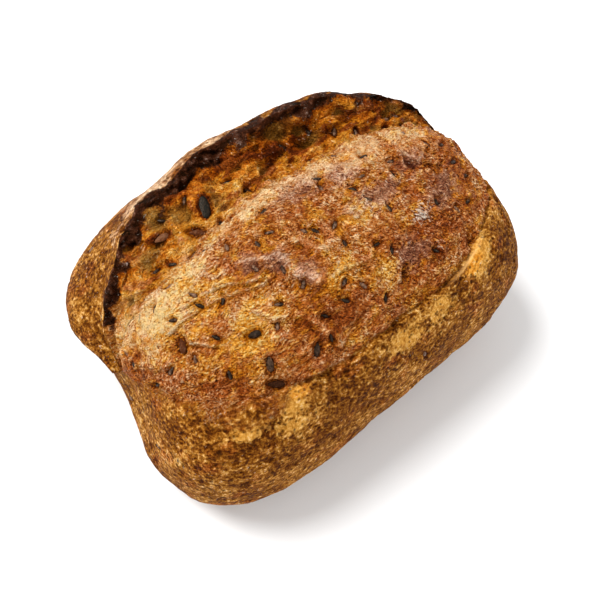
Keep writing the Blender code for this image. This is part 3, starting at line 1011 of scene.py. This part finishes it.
def bloom_colour(s, g):
    """Of the crackled skin that rose out of the opening."""
    pale = pale_share(s, g)
    # Pale flecks and thread crests stand partly for glints on the glossy skin, as painted highlights,
    # and the gaps between them are painted darker as shade; the rest is the skin's own mottling.
    flecks = g.blend(fine=0.35, hairs=0.58, threads=0.5, gaps=-0.28, flakes=0.12)
    # In the tone, the relief and the folds paint highlights on crests and shade in hollows and
    # creases, and the craters and the crust round each seed are painted darker as shade.
    tone = g.blend(
        0.32, s.times(flecks, g.roughly), s.times(pale, 0.36), middle=0.03, web=0.04, relief=0.06,
        folded=0.2, pale=0.15, gold=0.16, dusty=-0.03, dark=-0.15, crater=-0.35, seeded=-0.26,
    )
    golden = s.spread(
        g.blend(s.noise(0.012, detail=4, distortion=0.6, shift=41), gold=0.22, web=-0.14), 0.44, 0.64
    )
    ruddy = s.spread(
        g.blend(s.noise(0.01, detail=4, shift=43), folded=0.1, gaps=0.1, dark=0.05, gold=-0.1),
        0.5, 0.64, 0, 0.85,
    )
    mauve = s.spread(g.blend(dusty=1, middle=0.7, web=0.3), 0.25, 0.8, 0, 0.85)
    skin = s.mix(golden, s.ramp(tone, BLOOM_STOPS), s.ramp(tone, GOLDEN_STOPS))
    skin = s.mix(ruddy, skin, s.ramp(s.add(tone, 0.02), RUDDY_STOPS))
    skin = s.mix(mauve, skin, s.ramp(s.add(tone, 0.09), MAUVE_STOPS))
    return s.mix(pale, skin, s.ramp(s.add(tone, 0.06), CREAM_STOPS))


def pale_share(s, g):
    """How far the paler colours show, from 0 to 1."""
    return s.spread(g.blend(pale=0.6, middle=0.8, web=0.2, broad=0.4), 0.2, 1.2)


def wall_colour(s, g):
    """Of the torn wall under the ear."""
    place = s.wound(0.005, 0.014)
    # In the tone, the relief paints highlights on what stands proud and shade in what sinks, and
    # painted shade darkens the craters, the crust round each seed, the wall just behind the rim and
    # the wall under the ear's lip, which also loses its gold.
    tone = g.blend(
        0.515, s.swing(s.noise(0.009, shift=29, place=place), 0.22), fine=0.4, hairs=0.42,
        middle=0.18, broad=0.14, threads=0.16, relief=0.17, pale=0.1, dark=-0.17, crater=-0.3,
        charred=-0.2, seeded=-0.4, pocket=-0.08, upper=-0.11,
    )
    gold = s.spread(
        g.blend(s.noise(0.01, detail=2, shift=23, place=place), gold=0.2, upper=-0.1),
        0.43, 0.55,
    )
    shreds = s.noise((0.015, 0.007, 0.007), detail=3, shift=27, place=place)
    red = s.spread(g.blend(shreds, folded=0.18), 0.5, 0.58, 0, 0.9)
    wall = s.mix(gold, s.ramp(tone, WALL_STOPS), s.ramp(tone, GOLDEN_STOPS))
    wall = s.mix(red, wall, s.ramp(s.add(tone, -0.03), TORN_RED_STOPS))
    wall = s.mix(s.times(pale_share(s, g), 0.75), wall, s.ramp(tone, CREAM_STOPS))
    # The wall's hollows take olive colours darker than the wall's: the olive is the torn crumb's own,
    # the darkness painted shade.
    hollowed = s.spread(s.mask("hollow"), 0.1, 0.8, 0, 0.9)
    return s.mix(hollowed, wall, s.ramp(s.add(tone, 0.02), HOLLOW_STOPS))


def flank_colour(s, g):
    """Of the crust that was the loaf's skin when it went into the oven."""
    speckle = s.noise(0.0018, detail=2, roughness=0.7, shift=17)
    # In the tone, the relief paints the crust lighter where it stands proud and darker in its pits,
    # partly as painted highlight and shade, and the crust round each seed is painted darker as shade.
    tone = g.blend(
        0.395, s.swing(speckle, 0.62), fine=0.32, middle=0.54, broad=0.4, mesh=0.2, relief=0.15,
        dark=-0.14, seeded=-0.4,
    )
    ruddy = s.spread(s.noise(0.014, detail=4, shift=47), 0.54, 0.68, 0, 0.5)
    floury = s.spread(g.blend(floury=1, middle=1.1, broad=0.8), 0.35, 0.75, 0, 0.9)
    powder = g.blend(0.58, s.swing(speckle, 0.55), middle=0.5, fine=0.3)
    golden = s.spread(g.blend(gold=1, middle=0.6), 0.35, 0.65, 0, 0.9)
    bare = s.spread(g.blend(bare=1, middle=0.9, broad=0.9), 0.3, 0.85, 0, 0.9)
    bare = s.times(bare, s.spread(s.mask("bare"), 0, 0.3))
    pits = s.times(s.glints(0.003, 61), s.spread(s.noise(0.0085, shift=63), 0.42, 0.52))
    skin = s.mix(ruddy, s.ramp(tone, CRUST_STOPS), s.ramp(tone, RUDDY_STOPS))
    skin = s.mix(floury, skin, s.ramp(powder, FLOURY_STOPS))
    skin = s.mix(golden, skin, s.ramp(s.add(s.times(tone, 0.5), 0.38), GOLDEN_STOPS))
    skin = s.mix(bare, skin, s.ramp(s.add(tone, 0.2), BARE_STOPS))
    return s.mix(s.times(pits, 0.85), skin, colour(72, 38, 6))


def crust_material():
    s = Shader("baked_crust")
    g = Grain(s)
    opening = s.mask("opening")
    # The relief paints the char lighter where it stands proud, as painted highlights on its gloss.
    charred = s.ramp(g.blend(0.3, relief=0.35, fine=0.8), CHAR_STOPS)
    burnt = s.spread(g.blend(charred=1, middle=0.9, broad=0.5), 0.36, 0.62)
    dusted = s.spread(g.blend(flour=1, hairs=1.6, middle=1), 0.6, 1.3, 0, 0.9)
    base = s.mix(opening, flank_colour(s, g), bloom_colour(s, g))
    base = s.mix(s.mask("wall"), base, wall_colour(s, g))
    base = s.mix(burnt, base, charred)
    base = s.mix(dusted, base, colour(240, 226, 208))
    # A thin painted highlight along a stretch of the crust's raised edge.
    base = s.mix(g.blend(sliver=0.85), base, colour(248, 192, 118))

    webs = s.times(s.add(g.noises["web"], s.times(g.noises["mesh"], 0.5)), opening)
    coarse = s.bump(s.add(g.noises["middle"], s.times(webs, 0.3)), 0.0012)
    lines = s.times(g.blend(threads=0.6, gaps=-0.8, flakes=0.25), opening)
    wiry = s.bump(lines, 0.0011, coarse)
    hairy = s.bump(s.times(opening, g.noises["hairs"]), 0.001, wiry)
    smoothed = s.times(s.times(g.noises["fine"], g.roughly), s.spread(s.mask("wall"), 0, 1, 1, 0.4))
    uneven = s.spread(g.noises["middle"], 0.3, 0.7, 0.32, 0.6)
    return s.coat(
        Base_Color=base,
        Roughness=s.add(uneven, s.spread(opening, 0, 1, 0.38, 0)),
        Specular_IOR_Level=0.1,
        Specular_Tint=colour(255, 200, 130),
        Normal=s.bump(smoothed, 0.001, hairy),
    )


FLAX_STOPS = (
    (0, 10, 4, 1), (0.4, 26, 12, 6), (0.65, 52, 26, 12), (0.85, 92, 50, 22), (1, 132, 82, 42),
)
HULL_STOPS = (
    (0, 36, 16, 6), (0.5, 84, 42, 20), (1, 146, 96, 56),
)
KERNEL_STOPS = (
    (0, 6, 3, 2), (0.6, 26, 16, 10), (1, 94, 72, 54),
)
PUMPKIN_STOPS = (
    (0, 4, 6, 5), (0.6, 12, 18, 16), (1, 50, 56, 48),
)


# Name, size, how pointed and how blunt, and the material: name, colours, roughness, gloss, dust
SEED_KINDS = (
    ("flax_seeds", FLAX, 0.35, 0.5, "toasted_flax", FLAX_STOPS, 0.18, 0.36, 0.85),
    ("sunflower_seeds", SUNFLOWER, 0.55, 0.5, "toasted_hull", HULL_STOPS, 0.5, 0.08, 0.35),
    ("kernels", KERNEL, 0.45, 0.5, "dark_kernel", KERNEL_STOPS, 0.25, 0.2, 0.3),
    ("pumpkin_seed", PUMPKIN, 0.22, 0.36, "toasted_pumpkin", PUMPKIN_STOPS, 0.18, 0.2, 0.1),
)


def seed_material(name, stops, roughness, gloss, dust):
    """dust is the most that the crust's colour may cover of the seed's."""
    s = Shader(name)
    grainy = s.noise(0.0007, detail=3, roughness=0.6)
    dusty = s.spread(
        s.add(s.noise(0.0021, detail=3, shift=5), s.swing(s.mask("tint"), 0.16)),
        0.5, 0.7, 0, dust,
    )
    tone = s.add(s.times(s.mask("tint"), 0.8), s.swing(grainy, 0.6), -0.05)
    return s.coat(
        Base_Color=s.mix(dusty, s.ramp(tone, stops), colour(132, 100, 78)),
        Roughness=s.spread(grainy, 0.3, 0.7, roughness, roughness + 0.25),
        Specular_IOR_Level=gloss,
        Specular_Tint=colour(255, 224, 196),
        Normal=s.bump(grainy, 0.0004),
    )


# The studio


FLOOR_REACH = 20
FLOOR_GAP = 0.0002  # the loaf's flat underside would else lie in the floor's plane


def make_floor():
    mesh = bpy.data.meshes.new("floor")
    corners = [(x * FLOOR_REACH, y * FLOOR_REACH, 0) for x, y in ((-1, -1), (1, -1), (1, 1), (-1, 1))]
    mesh.from_pydata(corners, [], [(0, 1, 2, 3)])
    mesh.materials.append(Shader("pale_floor").coat(Base_Color=(0.86, 0.86, 0.86, 1), Roughness=0.9))
    floor = add_object("floor", mesh)
    floor.location.z = -FLOOR_GAP


def add_softbox(name, place, strength, spread):
    """A distant soft light that shines from the place, spread over so many degrees."""
    light = bpy.data.lights.new(name, "SUN")
    light.energy = strength
    light.angle = math.radians(spread)
    lamp = add_object(name, light)
    lamp.location = place
    lamp.rotation_euler = Vector(place).to_track_quat("Z", "Y").to_euler()


def light_studio():
    world = bpy.data.worlds.new("studio")
    world.use_nodes = True
    background = world.node_tree.nodes["Background"]
    background.inputs["Color"].default_value = (1, 1, 1, 1)
    background.inputs["Strength"].default_value = 0.68
    bpy.context.scene.world = world
    add_softbox("key", (-0.45, 0.65, 1.15), strength=3.6, spread=28)
    add_softbox("fill", (0.5, -0.9, 0.8), strength=0.9, spread=60)


def make_camera():
    side, lift = math.radians(CAMERA_SIDE), math.radians(CAMERA_ELEVATION)
    roll = math.radians(CAMERA_ROLL)
    back = Vector((
        math.sin(side) * math.cos(lift), -math.cos(side) * math.cos(lift), math.sin(lift)
    ))
    level = Vector((math.cos(side), math.sin(side), 0))
    right = level * math.cos(roll) + back.cross(level) * math.sin(roll)
    up = back.cross(right)
    data = bpy.data.cameras.new("camera")
    camera = add_object("camera", data)
    camera.matrix_world = Matrix((right, up, back)).transposed().to_4x4()
    camera.location = CAMERA_AIM - MIDDLE + back * CAMERA_DISTANCE
    data.lens = CAMERA_LENS
    data.sensor_width = 36
    data.shift_x, data.shift_y = CAMERA_SHIFT
    data.clip_start = 0.01
    bpy.context.scene.camera = camera


bpy.context.scene.view_settings.view_transform = "Standard"
make_camera()
light_studio()
make_floor()
planned = place_seeds()
make_loaf(planned)
for name, size, pointed, bluntness, *look in SEED_KINDS:
    make_seeds(name, size, planned, pointed, bluntness, seed_material(*look))
